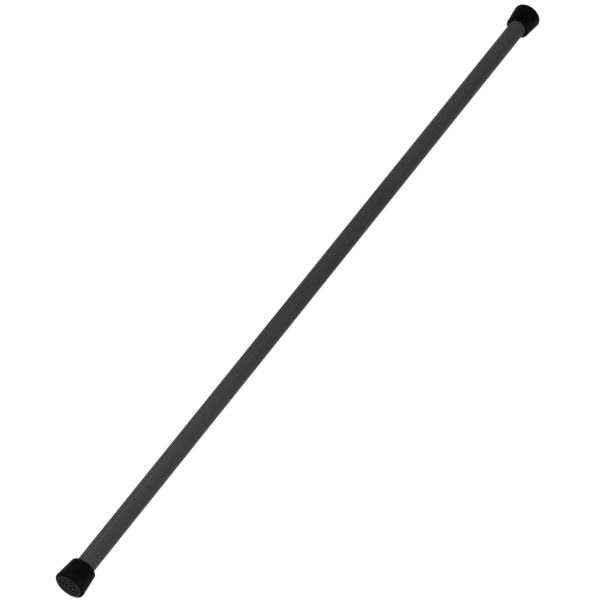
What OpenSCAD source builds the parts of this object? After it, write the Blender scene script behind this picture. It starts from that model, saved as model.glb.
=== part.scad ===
// Straight devil stick: a rubber-covered tube with a tread-faced rubber ferrule pushed on each end.
// The stick lies along X on a flat surface, and touches it only with the wide rims of its ferrules.
// The origin is on that surface, under the middle of the stick. Sizes are in millimetres.

/* [Stick] */
// Overall length, from the tread of one ferrule to the tread of the other
overall_l = 750; // [400:5:1500]
// Outer diameter of the rubber sleeve, which is what the player touches
grip_d = 16; // [14:0.5:30]
// Outer diameter of the tube inside the sleeve
core_d = 12; // [6:0.5:13.5]
// Wall of the tube
core_wall = 1.5; // [0.8:0.1:2.5]

/* [Ferrules] */
// Height of a ferrule, from tread to mouth
ferrule_h = 20.4; // [14:0.1:40]
// Rubber under the washer, tread included
ferrule_floor = 5; // [3:0.5:8]
// Rubber around the stick at the mouth
lip_wall = 3.2; // [2:0.1:6]
// Rubber around the stick at the widest part of the base
base_wall = 5.1; // [2.5:0.1:10]
// Radius of the outer edge round the tread
base_edge_r = 2; // [0.3:0.1:3]
// Radius of the outer edge round the mouth
lip_edge_r = 0.5; // [0.3:0.1:1]
// Width of the bevel that leads the stick into the mouth
lead_in = 0.5; // [0.2:0.1:0.8]

/* [Tread] */
// Number of ring grooves in the tread
tread_grooves = 3; // [1:1:4]
// Width of a ring groove
groove_w = 1.2; // [0.6:0.1:2]
// Depth of a ring groove
groove_depth = 0.8; // [0.3:0.1:1.5]
// Flat rim outside the outermost groove
tread_rim = 2.2; // [1:0.1:4]

/* [Washers] */
// Thickness of the steel washer at the bottom of a ferrule
washer_t = 1.2; // [0.8:0.1:3]
// Hole in the washer
washer_hole_d = 5; // [3:0.5:8]

/* [End plugs] */
// Length of the shank glued into the tube
plug_shank_l = 22; // [10:1:60]
// Thickness of the head that covers the end of the tube
plug_head_t = 2; // [1:0.5:5]
// Width of a glue groove round the shank
glue_groove_w = 1.5; // [0.5:0.5:2]
// Depth of a glue groove
glue_groove_depth = 0.4; // [0.2:0.1:0.8]
// Number of glue grooves
glue_grooves = 3; // [1:1:4]
// Bevel on the end of the shank
plug_bevel = 0.8; // [0.2:0.1:1]

/* [Fits] */
// Radial clearance of a ferrule on the sleeve
ferrule_fit = 0.03; // [0.01:0.01:0.1]
// Radial clearance of a washer in its ferrule
washer_fit = 0.1; // [0.05:0.05:0.3]
// Thickness of the glue between tube, sleeve and plugs
glue_t = 0.05; // [0.02:0.01:0.1]

/* [Hidden] */
$fn = 96;
overshoot = 1;

grip_r = grip_d / 2;
sleeve_bore_r = core_d / 2 + glue_t;
core_bore_r = core_d / 2 - core_wall;
ferrule_bore_r = grip_r + ferrule_fit;
lip_r = ferrule_bore_r + lip_wall;
base_r = ferrule_bore_r + base_wall;

// The stick ends on the washers, and the tube ends under the heads of its plugs
stick_l = overall_l - 2 * (ferrule_floor + washer_t);
core_l = stick_l - 2 * plug_head_t;

// Centres of the two edge rounds in a ferrule's outline, and the lean of the side that joins them
base_round = [base_r - base_edge_r, base_edge_r];
lip_round = [lip_r - lip_edge_r, ferrule_h - lip_edge_r];
inward = base_round.x - lip_round.x;
upward = lip_round.y - base_round.y;
side_lean = atan2(inward, upward) + asin((base_edge_r - lip_edge_r) / norm([inward, upward]));
side_normal = [cos(side_lean), sin(side_lean)];

outer_groove_r = base_round.x - tread_rim - groove_w / 2;
groove_pitch = outer_groove_r / tread_grooves;

// Turns a piece drawn upwards from the tread into the +X end of the stick
module right_end() {
    translate([overall_l / 2, 0, base_r]) rotate([0, -90, 0]) children();
}

module left_end() {
    mirror([1, 0, 0]) right_end() children();
}

module tube(length, outer_r, inner_r) {
    translate([-length / 2, 0, base_r]) rotate([0, 90, 0]) difference() {
        cylinder(h = length, r = outer_r);
        translate([0, 0, -overshoot]) cylinder(h = length + 2 * overshoot, r = inner_r);
    }
}

module core_tube() {
    color("silver") tube(core_l, core_d / 2, core_bore_r);
}

module grip_sleeve() {
    color([0.24, 0.24, 0.24]) tube(stick_l, grip_r, sleeve_bore_r);
}

// The head lies on the washer, and the shank points up the tube
module plug() {
    shank_r = core_bore_r - glue_t;
    groove_step = plug_shank_l / (glue_grooves + 1);
    translate([0, 0, ferrule_floor + washer_t]) rotate_extrude() difference() {
        polygon([
            [0, 0],
            [core_d / 2, 0],
            [core_d / 2, plug_head_t],
            [shank_r, plug_head_t],
            [shank_r, plug_head_t + plug_shank_l - plug_bevel],
            [shank_r - plug_bevel, plug_head_t + plug_shank_l],
            [0, plug_head_t + plug_shank_l]
        ]);
        for (i = [1:glue_grooves])
            translate([shank_r - glue_groove_depth, plug_head_t + i * groove_step - glue_groove_w / 2])
                square([glue_groove_depth + overshoot, glue_groove_w]);
    }
}

module left_plug() {
    color("ivory") left_end() plug();
}

module right_plug() {
    color("ivory") right_end() plug();
}

module washer() {
    translate([0, 0, ferrule_floor]) difference() {
        cylinder(h = washer_t, r = ferrule_bore_r - washer_fit);
        translate([0, 0, -overshoot]) cylinder(h = washer_t + 2 * overshoot, d = washer_hole_d);
    }
}

module left_washer() {
    color("lightsteelblue") left_end() washer();
}

module right_washer() {
    color("lightsteelblue") right_end() washer();
}

// The solid side of a ferrule's outline: a leaning straight side between two round edges
module ferrule_outline() {
    polygon([
        [0, 0],
        [base_round.x, 0],
        base_round + base_edge_r * side_normal,
        lip_round + lip_edge_r * side_normal,
        [lip_round.x, ferrule_h],
        [0, ferrule_h]
    ]);
    translate(base_round) circle(r = base_edge_r);
    translate(lip_round) circle(r = lip_edge_r);
}

// The space for the stick, with the bevel at its mouth
module ferrule_bore() {
    polygon([
        [0, ferrule_floor],
        [ferrule_bore_r, ferrule_floor],
        [ferrule_bore_r, ferrule_h - lead_in],
        [ferrule_bore_r + lead_in, ferrule_h],
        [ferrule_bore_r + lead_in, ferrule_h + overshoot],
        [0, ferrule_h + overshoot]
    ]);
}

module ferrule() {
    rotate_extrude() difference() {
        ferrule_outline();
        ferrule_bore();
        for (i = [1:tread_grooves])
            translate([i * groove_pitch - groove_w / 2, -overshoot])
                square([groove_w, groove_depth + overshoot]);
    }
}

module left_ferrule() {
    color([0.07, 0.07, 0.07]) left_end() ferrule();
}

module right_ferrule() {
    color([0.07, 0.07, 0.07]) right_end() ferrule();
}

core_tube();
grip_sleeve();
left_plug();
right_plug();
left_washer();
right_washer();
left_ferrule();
right_ferrule();
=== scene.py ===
import math

import bmesh
import bpy
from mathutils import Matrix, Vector, noise


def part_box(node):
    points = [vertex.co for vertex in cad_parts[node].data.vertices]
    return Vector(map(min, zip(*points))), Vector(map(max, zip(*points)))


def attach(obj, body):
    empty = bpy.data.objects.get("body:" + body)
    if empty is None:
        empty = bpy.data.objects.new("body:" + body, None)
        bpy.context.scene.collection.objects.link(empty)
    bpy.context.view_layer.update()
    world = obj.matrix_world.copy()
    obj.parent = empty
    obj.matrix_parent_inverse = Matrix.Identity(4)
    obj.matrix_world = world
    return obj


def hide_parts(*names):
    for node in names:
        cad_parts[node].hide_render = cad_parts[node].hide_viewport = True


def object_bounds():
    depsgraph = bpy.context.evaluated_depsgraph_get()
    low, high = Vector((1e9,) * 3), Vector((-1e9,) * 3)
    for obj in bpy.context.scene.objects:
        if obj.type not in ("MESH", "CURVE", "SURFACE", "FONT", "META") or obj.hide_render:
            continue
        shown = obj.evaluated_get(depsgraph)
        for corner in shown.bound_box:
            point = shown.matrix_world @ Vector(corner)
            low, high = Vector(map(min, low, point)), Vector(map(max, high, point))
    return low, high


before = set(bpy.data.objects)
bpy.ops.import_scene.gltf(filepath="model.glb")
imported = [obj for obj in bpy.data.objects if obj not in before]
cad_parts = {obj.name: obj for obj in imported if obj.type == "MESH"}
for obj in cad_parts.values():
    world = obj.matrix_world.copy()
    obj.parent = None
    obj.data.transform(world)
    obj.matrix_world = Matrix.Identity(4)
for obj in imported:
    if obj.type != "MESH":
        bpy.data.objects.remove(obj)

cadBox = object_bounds()
print("frame: " + ", ".join(sorted(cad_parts)))

mm = 0.001

# the stick's own measures, read off the frame
sleeveLow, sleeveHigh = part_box("grip_sleeve")
coreLow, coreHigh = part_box("core_tube")
washerLow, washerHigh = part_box("right_washer")
plugLow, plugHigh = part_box("right_plug")
ferruleLow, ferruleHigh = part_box("right_ferrule")

axisHeight = (cadBox[0].z + cadBox[1].z) / 2
halfStick = ferruleHigh.x
gripRadius = (sleeveHigh.y - sleeveLow.y) / 2
coreRadius = (coreHigh.y - coreLow.y) / 2
ferruleRadius = (ferruleHigh.y - ferruleLow.y) / 2
ferruleHeight = ferruleHigh.x - ferruleLow.x
ferruleFloor = ferruleHigh.x - washerHigh.x
washerRadius = (washerHigh.y - washerLow.y) / 2
washerThick = washerHigh.x - washerLow.x
plugLength = plugHigh.x - plugLow.x
plugStart = ferruleHigh.x - plugHigh.x

# gaps between pieces that fit together
fits = {
    "ferruleOnGrip": 0.03 * mm,
    "glue": 0.05 * mm,
}


# One output of a material's nodes. Sums on it add Math nodes
class Wire:
    def __init__(self, finish, socket):
        self.finish = finish
        self.socket = socket

    def __add__(self, other):
        return self.finish.maths("ADD", self, other)

    def __radd__(self, other):
        return self.finish.maths("ADD", other, self)

    def __sub__(self, other):
        return self.finish.maths("SUBTRACT", self, other)

    def __rsub__(self, other):
        return self.finish.maths("SUBTRACT", other, self)

    def __mul__(self, other):
        return self.finish.maths("MULTIPLY", self, other)

    def __rmul__(self, other):
        return self.finish.maths("MULTIPLY", other, self)


# A material with one Principled shader, and short names for the nodes that its patterns use
class Finish:
    def __init__(self, name, look):
        self.material = bpy.data.materials.new(name)
        self.material.use_nodes = True
        self.tree = self.material.node_tree
        self.shader = self.tree.nodes["Principled BSDF"]
        for socketName, value in look.items():
            self.shader.inputs[socketName].default_value = value
        self.place = self.add("ShaderNodeTexCoord", {}, {}, out="Object")

    # Any node: its type, its settings, then what goes into its sockets
    def add(self, kind, settings, sockets, out=0):
        node = self.tree.nodes.new(kind)
        for key, value in settings.items():
            setattr(node, key, value)
        for key, value in sockets.items():
            self.feed(self.pick(node.inputs, key), value)
        return Wire(self, self.pick(node.outputs, out))

    # Nodes such as Mix hold several sockets of one name, and only the enabled one counts
    def pick(self, sockets, key):
        live = [s for s in sockets if s.enabled]
        return live[key] if isinstance(key, int) else next(s for s in live if s.name == key)

    def feed(self, socket, value):
        if isinstance(value, Wire):
            self.tree.links.new(value.socket, socket)
        else:
            socket.default_value = value

    def maths(self, operation, *values):
        return self.add("ShaderNodeMath", {"operation": operation}, dict(enumerate(values)))

    # Noise from 0 to 1, with so many lumps a metre along X, Y and Z
    def noise(self, lumps, detail=2.0, rough=0.5):
        place = self.add("ShaderNodeVectorMath", {"operation": "MULTIPLY"}, {0: self.place, 1: lumps})
        return self.add("ShaderNodeTexNoise", {},
                        {"Vector": place, "Scale": 1.0, "Detail": detail, "Roughness": rough})

    # Runs smoothly from 0 where the value is at the first limit to 1 at the second, which may be lower
    def between(self, value, zeroAt, oneAt):
        return self.add("ShaderNodeMapRange", {"interpolation_type": "SMOOTHSTEP"},
                        {"Value": value, "From Min": zeroAt, "From Max": oneAt})

    def mix(self, share, first, second):
        return self.add("ShaderNodeMix", {"data_type": "RGBA"}, {"Factor": share, "A": first, "B": second})

    # How far along the stick a point is from its middle
    def along(self):
        x = self.add("ShaderNodeSeparateXYZ", {}, {0: self.place}, out="X")
        return self.maths("ABSOLUTE", x)

    # How far out a point is from the stick's axis
    def out(self):
        fromAxis = self.add("ShaderNodeVectorMath", {"operation": "MULTIPLY_ADD"},
                            {0: self.place, 1: (0, 1, 1), 2: (0, 0, -axisHeight)})
        return self.add("ShaderNodeVectorMath", {"operation": "LENGTH"}, {0: fromAxis}, out="Value")

    def finish(self, colour, roughness, height, depth):
        self.feed(self.shader.inputs["Base Color"], colour)
        self.feed(self.shader.inputs["Roughness"], roughness)
        bump = self.add("ShaderNodeBump", {}, {"Strength": 1.0, "Distance": depth, "Height": height})
        self.feed(self.shader.inputs["Normal"], bump)
        return self.material


gripLook = {
    "dark": (0.0320, 0.0320, 0.0325, 1),
    "light": (0.0490, 0.0490, 0.0496, 1),
    "dust": (0.090, 0.089, 0.087, 1),
    "dustShare": 0.45,
    "paintedShadeFrom": 0.19,  # painted shade: the rubber is painted darker this near the middle, in metres
    "paintedShadeFully": 0.057,
    "paintedShadeShare": 0.32,
    "dieLines": (6, 900, 900),  # lumps a metre, as for every pattern below
    "clouds": (14, 55, 55),
    "grain": (2000, 2000, 2000),
    "specks": (1100, 1100, 1100),
    "roughness": 0.58,
    "bump": 0.20 * mm,
    "shader": {"Specular IOR Level": 0.05, "Coat Weight": 0.06, "Coat Roughness": 0.22},
}


# Extruded rubber: drawn lines along the stick, slow clouds of tone, a fine grain and a little dust, and
# painted shade that darkens the middle of the stick
def gripRubber():
    f = Finish("gripRubber", gripLook["shader"])
    drawn = f.noise(gripLook["dieLines"], 3, 0.65)
    cloud = f.noise(gripLook["clouds"])
    grain = f.noise(gripLook["grain"], 2, 0.6)
    specks = f.between(f.noise(gripLook["specks"], 1), 0.64, 0.74) * f.between(cloud, 0.4, 0.6)
    lines = f.between(drawn, 0.35, 0.65)
    # painted shade: the colour is darkened towards the middle of the stick, standing in for less light
    # falling there
    paintedShadeMiddle = f.between(f.along(), gripLook["paintedShadeFrom"], gripLook["paintedShadeFully"])
    tone = 0.4 * cloud + 0.35 * lines + 0.25 * grain - paintedShadeMiddle * gripLook["paintedShadeShare"]
    colour = f.mix(tone, gripLook["dark"], gripLook["light"])
    colour = f.mix(specks * gripLook["dustShare"], colour, gripLook["dust"])
    rough = gripLook["roughness"] + 0.14 * drawn + 0.10 * grain - 0.08 * cloud
    return f.finish(colour, rough, 0.5 * grain + 0.35 * drawn, gripLook["bump"])


ferruleLook = {
    "black": (0.0006, 0.0006, 0.0007, 1),
    "worn": (0.0030, 0.0030, 0.0031, 1),
    "tread": (0.0210, 0.0210, 0.0213, 1),
    "dust": (0.060, 0.058, 0.055, 1),
    "edge": 2.0 * mm,  # the rounded edge round the tread, which stays black
    "edgeBlur": 0.2 * mm,
    "greyFrom": 0.5 * mm,  # the tread's grey fades out this far down its grooves
    "greyFully": 0.1 * mm,
    "grooveDustFrom": 0.15 * mm,
    "grooveDustFully": 0.7 * mm,
    "rimDustFrom": 0.5 * mm,  # dust on the widest part, measured inwards from it
    "rimDustFully": 0.02 * mm,
    "sheen": 0.035,
    "scuffed": 0.85,  # how much of its sheen that edge and the side just above it have lost
    "scuffedHeight": 3.0 * mm,
    "scuffedFade": 1.5 * mm,
    "skin": (1300, 1300, 1300),
    "clouds": (160, 160, 160),
    "specks": (700, 700, 700),
    "roughness": 0.52,
    "bump": 0.16 * mm,
    "shader": {"Specular IOR Level": 0.02, "Coat Roughness": 0.40},
}


# Moulded rubber: near black with a fine orange-peel skin, greyer and dustier on the tread
def ferruleRubber():
    look = ferruleLook
    f = Finish("ferruleRubber", look["shader"])
    skin = f.noise(look["skin"], 2, 0.6)
    cloud = f.noise(look["clouds"])
    along, out = f.along(), f.out()

    flat = ferruleRadius - look["edge"]
    atFace = f.between(along, halfStick - look["greyFrom"], halfStick - look["greyFully"])
    onTread = f.between(out, flat + look["edgeBlur"], flat - look["edgeBlur"]) * atFace
    inGroove = f.between(along, halfStick - look["grooveDustFrom"], halfStick - look["grooveDustFully"])
    rim = f.between(out, ferruleRadius - look["rimDustFrom"], ferruleRadius - look["rimDustFully"])
    scuffStart = halfStick - look["scuffedHeight"]
    scuffed = f.between(along, scuffStart - look["scuffedFade"], scuffStart) * look["scuffed"]

    f.feed(f.shader.inputs["Coat Weight"], look["sheen"] * (1 - scuffed))
    colour = f.mix(0.6 * cloud + 0.4 * skin, look["black"], look["worn"])
    colour = f.mix(onTread * (0.75 + 0.25 * cloud), colour, look["tread"])
    specks = f.between(f.noise(look["specks"], 2, 0.7), 0.5, 0.75)
    dust = specks * (0.15 * onTread + 0.2 * inGroove * onTread)
    colour = f.mix(dust + 0.04 * rim, colour, look["dust"])
    rough = look["roughness"] + 0.16 * skin + 0.16 * onTread
    return f.finish(colour, rough, skin + 0.4 * cloud, look["bump"])


nylonLook = {
    "clear": (0.66, 0.62, 0.50, 1),
    "milky": (0.80, 0.77, 0.68, 1),
    "glue": (0.36, 0.27, 0.12, 1),
    "glueShare": 0.55,
    "glueFrom": 2.4 * mm,  # below the head's face
    "glueFully": 3.2 * mm,
    "clouds": (260, 260, 260),
    "smears": (420, 420, 420),
    "toolPitch": 0.25 * mm,
    "roughness": 0.42,
    "bump": 0.007 * mm,
    "shader": {"Subsurface Weight": 0.12, "Subsurface Scale": 0.002, "Specular IOR Level": 0.45},
}


# Natural nylon, turned: tool rings, milky clouds and traces of glue on the shank
def turnedNylon():
    f = Finish("turnedNylon", nylonLook["shader"])
    cloud = f.noise(nylonLook["clouds"], 3)
    along, out = f.along(), f.out()
    turns = math.tau / nylonLook["toolPitch"]
    rings = f.maths("SINE", out * turns + along * turns)
    face = halfStick - plugStart
    shank = f.between(along, face - nylonLook["glueFrom"], face - nylonLook["glueFully"])
    smear = shank * f.between(f.noise(nylonLook["smears"]), 0.42, 0.62)
    colour = f.mix(cloud, nylonLook["clear"], nylonLook["milky"])
    colour = f.mix(nylonLook["glueShare"] * smear, colour, nylonLook["glue"])
    rough = nylonLook["roughness"] + 0.12 * cloud - 0.15 * smear
    return f.finish(colour, rough, rings + 0.5 * cloud, nylonLook["bump"])


zincLook = {
    "bright": (0.60, 0.61, 0.62, 1),
    "dull": (0.42, 0.43, 0.44, 1),
    "spangles": 700.0,
    "rollLines": (2600, 2600, 120),
    "roughness": 0.28,
    "bump": 0.02 * mm,
    "shader": {"Metallic": 1.0},
}


# Zinc-plated steel, stamped from sheet: rolling lines one way, and spangled dull patches
def zincSteel():
    f = Finish("zincSteel", zincLook["shader"])
    patches = f.add("ShaderNodeTexVoronoi", {"feature": "SMOOTH_F1"},
                    {"Vector": f.place, "Scale": zincLook["spangles"]}, out="Distance")
    rolled = f.noise(zincLook["rollLines"])
    colour = f.mix(0.6 * patches + 0.4 * rolled, zincLook["bright"], zincLook["dull"])
    rough = zincLook["roughness"] + 0.25 * rolled + 0.15 * patches
    return f.finish(colour, rough, rolled, zincLook["bump"])


aluminiumLook = {
    "bright": (0.78, 0.79, 0.80, 1),
    "dull": (0.60, 0.61, 0.62, 1),
    "drawLines": (8, 1800, 1800),
    "clouds": (30, 120, 120),
    "roughness": 0.30,
    "bump": 0.01 * mm,
    "shader": {"Metallic": 1.0},
}


# Bare drawn aluminium: fine lines along the tube
def drawnAluminium():
    f = Finish("drawnAluminium", aluminiumLook["shader"])
    lines = f.noise(aluminiumLook["drawLines"], 3, 0.7)
    cloud = f.noise(aluminiumLook["clouds"])
    colour = f.mix(0.5 * lines + 0.5 * cloud, aluminiumLook["bright"], aluminiumLook["dull"])
    rough = aluminiumLook["roughness"] + 0.2 * lines + 0.1 * cloud
    return f.finish(colour, rough, lines, aluminiumLook["bump"])


finishes = {
    "grip_rubber": gripRubber(),
    "ferrule_rubber": ferruleRubber(),
    "plug_nylon": turnedNylon(),
    "washer_steel": zincSteel(),
    "aluminium_tube": drawnAluminium(),
}
print("materials: " + ", ".join(finishes))


# Points on a round edge or hollow of an outline
def arc(centre, radius, start, end, steps=6):
    angles = [math.radians(start + (end - start) * i / steps) for i in range(steps + 1)]
    return [(centre[0] + radius * math.cos(a), centre[1] + radius * math.sin(a)) for a in angles]


# Extra points, no further apart than step, on the straight stretches of an outline
def filled(outline, step):
    points = [outline[0]]
    for (t0, r0), (t1, r1) in zip(outline, outline[1:]):
        parts = max(1, math.ceil(math.hypot(t1 - t0, r1 - r0) / step))
        points += [(t0 + (t1 - t0) * i / parts, r0 + (r1 - r0) * i / parts) for i in range(1, parts + 1)]
    return points


# Smooth noise over a round surface, from 0 to 1. along and around say how fast it changes
def unevenness(x, angle, along, around, shift=0, twist=0):
    place = (x * along + shift, math.cos(angle) * around, math.sin(angle) * around + x * twist)
    return (1 + noise.noise(Vector(place))) / 2


def show(thing):
    bpy.context.scene.collection.objects.link(thing)


# Turns an outline of (distance along, radius) points about the stick's axis.
# toX gives a distance's place on X, and worked moves a point in or out, as mould and die have left it
def turned(name, outline, toX, steps, closed=False, worked=None):
    pole = 1e-7  # a smaller radius is a single point on the axis
    mesh = bmesh.new()
    rings = []
    for along, radius in outline:
        x = toX(along)
        if radius < pole:
            rings.append([mesh.verts.new((x, 0, axisHeight))])
            continue
        ring = []
        for i in range(steps):
            angle = math.tau * i / steps
            r = radius + (worked(x, radius, angle) if worked else 0)
            ring.append(mesh.verts.new((x, r * math.cos(angle), axisHeight + r * math.sin(angle))))
        rings.append(ring)
    pairs = list(zip(rings, rings[1:]))
    if closed:
        pairs.append((rings[-1], rings[0]))
    for a, b in pairs:
        for i in range(steps):
            j = (i + 1) % steps
            corners = [a[i % len(a)], a[j % len(a)], b[j % len(b)], b[i % len(b)]]
            mesh.faces.new(list(dict.fromkeys(corners)))
    bmesh.ops.recalc_face_normals(mesh, faces=mesh.faces)
    for face in mesh.faces:
        face.smooth = True
    data = bpy.data.meshes.new(name)
    mesh.to_mesh(data)
    mesh.free()
    piece = bpy.data.objects.new(name, data)
    show(piece)
    return piece


# Gives a finished piece its material and its body, and hides the CAD node that it stands for
def place(piece, node, slotName, body):
    piece.data.materials.append(finishes[slotName])
    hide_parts(node)
    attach(piece, body)


# A tube from one end to the other, with the edges of its cut ends rounded
def tubeOutline(half, outer, inner, edge, step):
    return (
        arc((-half + edge, outer - edge), edge, 180, 90)
        + filled([(-half + edge, outer), (half - edge, outer)], step)[1:-1]
        + arc((half - edge, outer - edge), edge, 90, 0)
        + arc((half - edge, inner + edge), edge, 0, -90)
        + arc((-half + edge, inner + edge), edge, -90, -180)
    )


sleeve = {
    "edge": 0.25 * mm,
    "ripple": 0.022 * mm,  # the deepest that the rubber's slow waves go
    "rippleAlong": 22,
    "rippleAround": 0.9,
    "lines": 0.010 * mm,  # the deepest that the die's lines go
    "linesAlong": 1.5,
    "linesAround": 9,
    "linesShift": 7,
    "fade": 10 * mm,  # both fade out over this length before a ferrule
    "ringStep": 4 * mm,
    "steps": 160,
}


# The sleeve is true under the ferrules, and lies very slightly uneven between them
def sleeveWorked(x, radius, angle):
    if radius < gripRadius - sleeve["edge"]:
        return 0
    clear = halfStick - ferruleHeight - abs(x)
    fade = min(1, max(0, clear / sleeve["fade"]))
    slow = unevenness(x, angle, sleeve["rippleAlong"], sleeve["rippleAround"])
    drawn = unevenness(x, angle, sleeve["linesAlong"], sleeve["linesAround"], shift=sleeve["linesShift"])
    return -fade * (sleeve["ripple"] * slow + sleeve["lines"] * drawn)


def makeSleeve():
    bore = coreRadius + fits["glue"]
    outline = tubeOutline(sleeveHigh.x, gripRadius, bore, sleeve["edge"], sleeve["ringStep"])
    piece = turned("grip_rubber_sleeve", outline, lambda t: t, sleeve["steps"], True, sleeveWorked)
    place(piece, "grip_sleeve", "grip_rubber", "stick")


core = {
    "wall": 1.5 * mm,
    "edge": 0.15 * mm,
    "ringStep": 60 * mm,
    "steps": 96,
}


def makeCore():
    bore = coreRadius - core["wall"]
    outline = tubeOutline(coreHigh.x, coreRadius, bore, core["edge"], core["ringStep"])
    piece = turned("aluminium_core", outline, lambda t: t, core["steps"], True)
    place(piece, "core_tube", "aluminium_tube", "stick")


makeSleeve()
makeCore()
print("shaft: sleeve and core")

plug = {
    "head": 2.0 * mm,
    "headEdge": 0.3 * mm,
    "bevel": 0.8 * mm,
    "grooves": 3,
    "grooveWidth": 1.5 * mm,
    "grooveDepth": 0.4 * mm,
    "round": 0.1 * mm,  # on the head's back edge, at its foot and in the grooves
    "drill": 1.0 * mm,  # radius and depth of the centre drill's mark in the head
    "drillEdge": 0.15 * mm,
    "ringStep": 1 * mm,
    "steps": 96,
}


# From the middle of the head, round its edge, and along the shank to its end
def plugOutline():
    shank = coreRadius - core["wall"] - fits["glue"]
    start, end = plugStart, plugStart + plugLength
    back = start + plug["head"]
    edge, small = plug["headEdge"], plug["round"]
    outline = [(start + plug["drill"], 0)]
    outline += arc((start + plug["drillEdge"], plug["drill"]), plug["drillEdge"], 270, 180, 3)
    outline += filled([outline[-1], (start, coreRadius - edge)], plug["ringStep"])[1:-1]
    outline += arc((start + edge, coreRadius - edge), edge, 180, 90, 5)
    outline += arc((back - small, coreRadius - small), small, 90, 0, 3)
    outline += arc((back + small, shank + small), small, 180, 270, 3)
    step = (plugLength - plug["head"]) / (plug["grooves"] + 1)
    half = plug["grooveWidth"] / 2
    deep = shank - plug["grooveDepth"]
    for i in range(1, plug["grooves"] + 1):
        middle = back + i * step
        outline += arc((middle - half - small, shank - small), small, 90, 0, 3)
        outline += arc((middle - half + small, deep + small), small, 180, 270, 3)
        outline += arc((middle + half - small, deep + small), small, 270, 360, 3)
        outline += arc((middle + half + small, shank - small), small, 180, 90, 3)
    outline += [(end - plug["bevel"], shank), (end, shank - plug["bevel"]), (end, 0)]
    return outline


washer = {
    "hole": 2.5 * mm,
    "rolled": 0.3 * mm,  # the edge that the punch rolled over
    "sharp": 0.06 * mm,
    "ringStep": 1 * mm,
    "steps": 96,
}


# Round the washer's section. Its outer edge is rolled on the rubber's side and sharp on the stick's,
# and its hole the other way about
def washerOutline():
    near, far = ferruleFloor, ferruleFloor + washerThick
    rolled, sharp, step = washer["rolled"], washer["sharp"], washer["ringStep"]
    inner, outer = washer["hole"], washerRadius
    return (
        arc((near + rolled, outer - rolled), rolled, 180, 90)
        + arc((far - sharp, outer - sharp), sharp, 90, 0, 3)
        + filled([(far, outer - sharp), (far, inner + rolled)], step)[1:-1]
        + arc((far - rolled, inner + rolled), rolled, 0, -90)
        + arc((near + sharp, inner + sharp), sharp, -90, -180, 3)
        + filled([(near, inner + sharp), (near, outer - rolled)], step)[1:-1]
    )


ferrule = {
    "lipWall": 3.2 * mm,
    "baseEdge": 2.0 * mm,
    "lipEdge": 0.5 * mm,
    "leadIn": 0.5 * mm,
    "leadInEdge": 0.15 * mm,
    "grooves": 3,
    "grooveWidth": 1.2 * mm,
    "grooveDepth": 0.8 * mm,
    "grooveLip": 0.16 * mm,
    "grooveRound": 0.3 * mm,
    "treadRim": 2.2 * mm,
    "rimRing": 1 * mm,  # one ring of points on the flat rim, this far in from the rounded edge
    "gate": 1.5 * mm,  # radius of the sunk spot where the rubber was let into the mould
    "gateDepth": 0.30 * mm,
    "gateSlope": 0.25 * mm,
    "gateEdge": 0.15 * mm,
    "pipSunk": 0.10 * mm,  # the stub torn off at the gate stays this far below the tread
    "pipTop": 0.3 * mm,
    "pipFoot": 0.5 * mm,
    "flashHeight": 0.06 * mm,
    "flashWidth": 0.5 * mm,
    "flashPlace": 3.2 * mm,
    "flashSteps": 8,
    "reliefs": 3,
    "reliefDepth": 0.2 * mm,
    "reliefMouth": 0.6 * mm,  # half its width at the bore, and below at its floor
    "reliefFloor": 0.4 * mm,
    "uneven": 0.03 * mm,
    "unevenAlong": 60,
    "unevenAround": 1.3,
    "unevenTwist": 9,
    "trueWithin": 1 * mm,  # the bore and a little more is left true
    "ringStep": 2 * mm,
    "steps": 192,
}


def treadGroove(radius):
    half, deep = ferrule["grooveWidth"] / 2, ferrule["grooveDepth"]
    lip, low = ferrule["grooveLip"], ferrule["grooveRound"]
    return (
        arc((lip, radius - half - lip), lip, 180, 90, 4)
        + arc((deep - low, radius - half + low), low, 270, 360, 5)
        + arc((deep - low, radius + half - low), low, 0, 90, 5)
        + arc((lip, radius + half + lip), lip, 270, 180, 4)
    )


# The tread from its middle to where its edge begins: the gate's mark, then the ring grooves
def treadOutline(flatRadius):
    gate, deep, edge = ferrule["gate"], ferrule["gateDepth"], ferrule["gateEdge"]
    outline = [(ferrule["pipSunk"], 0), (ferrule["pipSunk"], ferrule["pipTop"])]
    outline += [(deep, ferrule["pipFoot"]), (deep, gate - ferrule["gateSlope"])]
    outline += arc((edge, gate), edge, 270, 180, 3)
    outerGroove = flatRadius - ferrule["treadRim"] - ferrule["grooveWidth"] / 2
    for i in range(1, ferrule["grooves"] + 1):
        outline += treadGroove(outerGroove * i / ferrule["grooves"])
    outline += [(0, flatRadius - ferrule["rimRing"])]
    return outline


# The mould's parting line, a low ridge on the side between two of its points
def flashOutline(sideStart, sideEnd):
    outline = []
    for i in range(ferrule["flashSteps"] + 1):
        across = i / ferrule["flashSteps"] - 0.5
        t = ferrule["flashPlace"] + ferrule["flashWidth"] * across
        share = (t - sideStart[0]) / (sideEnd[0] - sideStart[0])
        rise = ferrule["flashHeight"] * (1 + math.cos(math.tau * across)) / 2
        outline.append((t, sideStart[1] + share * (sideEnd[1] - sideStart[1]) + rise))
    return outline


# The bore from its mouth to its floor: a lead-in, then shallow relief rings
def boreOutline(bore):
    leadIn, edge = ferrule["leadIn"], ferrule["leadInEdge"]
    top = ferruleHeight - leadIn
    outline = arc((ferruleHeight - edge, bore + leadIn + edge), edge, 0, -45, 3)
    outline += [(top, bore)]
    step = (top - ferruleFloor - washerThick) / (ferrule["reliefs"] + 1)
    deep = bore + ferrule["reliefDepth"]
    mouth, floor = ferrule["reliefMouth"], ferrule["reliefFloor"]
    for i in range(1, ferrule["reliefs"] + 1):
        middle = top - step * i
        outline += [(middle + mouth, bore), (middle + floor, deep)]
        outline += [(middle - floor, deep), (middle - mouth, bore)]
    outline += filled([(ferruleFloor, bore), (ferruleFloor, 0)], ferrule["ringStep"])
    return outline


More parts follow.
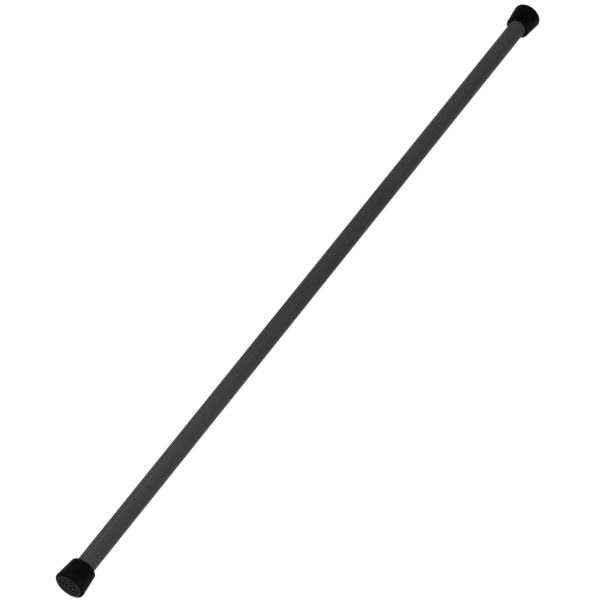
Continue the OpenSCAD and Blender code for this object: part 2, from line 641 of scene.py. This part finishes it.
# From the middle of the tread out to its rim, up the side, over the lip and down the bore
def ferruleOutline():
    bore = gripRadius + fits["ferruleOnGrip"]
    baseEdge, lipEdge = ferrule["baseEdge"], ferrule["lipEdge"]
    baseRound = (baseEdge, ferruleRadius - baseEdge)
    lipRound = (ferruleHeight - lipEdge, bore + ferrule["lipWall"] - lipEdge)

    # the side's slope, in degrees, touches both rounds
    inward, upward = baseRound[1] - lipRound[1], lipRound[0] - baseRound[0]
    lean = math.atan2(inward, upward) + math.asin((baseEdge - lipEdge) / math.hypot(inward, upward))
    square = 90 - math.degrees(lean)
    base = arc(baseRound, baseEdge, 180, square, 9)
    lip = arc(lipRound, lipEdge, square, 0, 7)

    outline = treadOutline(baseRound[1]) + base + flashOutline(base[-1], lip[0])
    outline += filled([outline[-1], lip[0]], ferrule["ringStep"])[1:-1]
    return outline + lip + boreOutline(bore)


# Moulded rubber is never quite round
def ferruleWorked(x, radius, angle):
    if radius < gripRadius + ferrule["trueWithin"]:
        return 0
    wave = unevenness(x, angle, ferrule["unevenAlong"], ferrule["unevenAround"], twist=ferrule["unevenTwist"])
    return -ferrule["uneven"] * wave


def makeEnd(name, side):
    def fromTread(t):
        return side * (halfStick - t)

    steps = ferrule["steps"]
    tip = turned(name + "_rubber_ferrule", ferruleOutline(), fromTread, steps, False, ferruleWorked)
    place(tip, name + "_ferrule", "ferrule_rubber", name + "_tip")
    disc = turned(name + "_steel_washer", washerOutline(), fromTread, washer["steps"], True)
    place(disc, name + "_washer", "washer_steel", name + "_tip")
    stopper = turned(name + "_nylon_plug", plugOutline(), fromTread, plug["steps"])
    place(stopper, name + "_plug", "plug_nylon", "stick")
    print(name + " end: ferrule, washer and plug")


makeEnd("left", -1)
makeEnd("right", 1)

floorLook = {
    "paper": (0.16, 0.16, 0.16, 1),
    "fibre": (0.19, 0.19, 0.19, 1),
    "fibres": (40, 40, 40),
    "roughness": 0.9,
    "bump": 0.02 * mm,
    "shader": {"Specular IOR Level": 0.1, "Emission Color": (1, 1, 1, 1), "Emission Strength": 0.97},
}


# White studio paper, which glows a little so that it stays white
def floorPaper():
    f = Finish("floorPaper", floorLook["shader"])
    fibre = f.noise(floorLook["fibres"], 3)
    colour = f.mix(fibre, floorLook["paper"], floorLook["fibre"])
    return f.finish(colour, floorLook["roughness"] + 0.05 * fibre, fibre, floorLook["bump"])


studio = {
    "floorSize": 30.0,
    "floorSquares": 24,
    "skyColour": (1.0, 1.0, 1.0, 1),
    "skyStrength": 0.18,
    # name: place, what it faces, its two widths, power in watts
    "lamps": {
        "key": ((-0.90, 0.80, 1.50), (-0.1, 0, 0), (1.2, 1.2), 30.0),
        "fill": ((-0.90, -1.50, 1.10), (0, 0, 0), (1.6, 1.6), 24.0),
        "strip": ((0.29, 0.66, 0.97), (0.29, 0, 0), (0.25, 0.06), 2.6),
    },
}


def makeFloor():
    mesh = bmesh.new()
    squares = studio["floorSquares"]
    bmesh.ops.create_grid(mesh, x_segments=squares, y_segments=squares, size=studio["floorSize"] / 2)
    data = bpy.data.meshes.new("floor")
    mesh.to_mesh(data)
    mesh.free()
    floor = bpy.data.objects.new("floor", data)
    floor.location.z = cadBox[0].z
    data.materials.append(floorPaper())
    show(floor)


def makeLights():
    for name, (spot, target, widths, watts) in studio["lamps"].items():
        lamp = bpy.data.lights.new(name, "AREA")
        lamp.shape = "ELLIPSE"
        lamp.size, lamp.size_y = widths
        lamp.energy = watts
        holder = bpy.data.objects.new(name, lamp)
        holder.location = spot
        holder.rotation_euler = (Vector(target) - Vector(spot)).to_track_quat("-Z", "Y").to_euler()
        show(holder)
    world = bpy.data.worlds.new("studio")
    world.use_nodes = True
    sky = world.node_tree.nodes["Background"]
    sky.inputs["Color"].default_value = studio["skyColour"]
    sky.inputs["Strength"].default_value = studio["skyStrength"]
    bpy.context.scene.world = world
    bpy.context.scene.view_settings.view_transform = "Standard"


view = {
    "lens": 164.9,
    "turn": 31.27,  # degrees from the stick's own direction
    "height": 49.16,  # degrees above the floor
    "distance": 2.3139,
    "aim": (-0.0321, -0.0008),  # on the floor plan, from the middle of the stick
    "farthest": 50,  # nothing beyond this many metres is seen
}


def makeCamera():
    camera = bpy.data.objects.new("camera", bpy.data.cameras.new("camera"))
    camera.data.lens = view["lens"]
    turn, height = math.radians(view["turn"]), math.radians(view["height"])
    ahead = Vector((math.cos(turn) * math.cos(height), math.sin(turn) * math.cos(height), -math.sin(height)))
    camera.location = Vector((*view["aim"], axisHeight)) - view["distance"] * ahead
    camera.rotation_euler = ahead.to_track_quat("-Z", "Y").to_euler()
    camera.data.clip_end = view["farthest"]
    show(camera)
    bpy.context.scene.camera = camera


makeFloor()
makeLights()
makeCamera()
print("studio: floor, lamps and camera")
